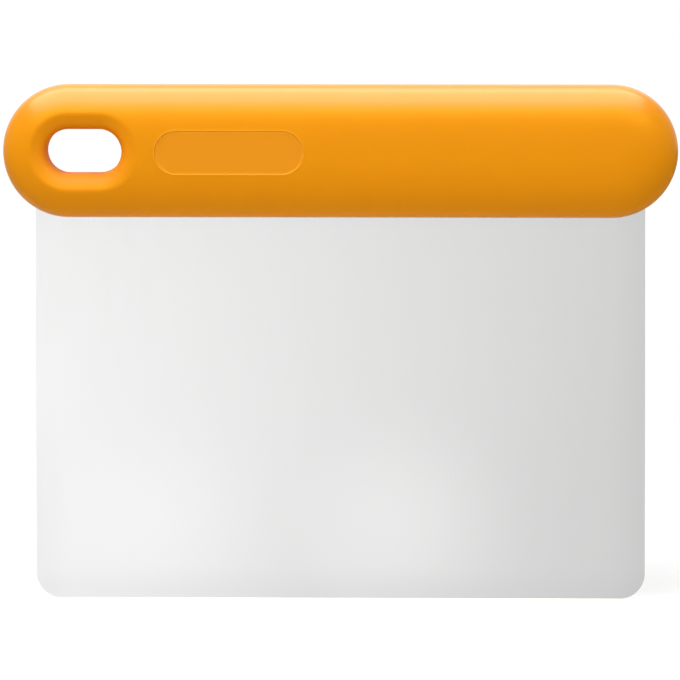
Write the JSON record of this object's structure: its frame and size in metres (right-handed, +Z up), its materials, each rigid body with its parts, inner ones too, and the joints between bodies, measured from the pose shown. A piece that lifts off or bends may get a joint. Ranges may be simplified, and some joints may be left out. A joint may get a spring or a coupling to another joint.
{
  "type": "dough scraper",
  "caption": "Dough scraper: a wide stainless blade with rounded lower corners, held in a moulded orange handle with rounded ends and an oblong hang slot.",
  "frame": {"origin": "middle of the scraping edge, half way through the blade's thickness", "axes": "+X along the handle, away from the hang slot; +Y out of the back; +Z up from the scraping edge to the handle"},
  "size_m": [0.166, 0.019, 0.1268],
  "materials": {
    "blade_steel": "satin",
    "handle_plastic": "satin"
  },
  "bodies": {
    "root": {"blade": "blade_steel", "handle": "handle_plastic"}
  },
  "joints": []
}
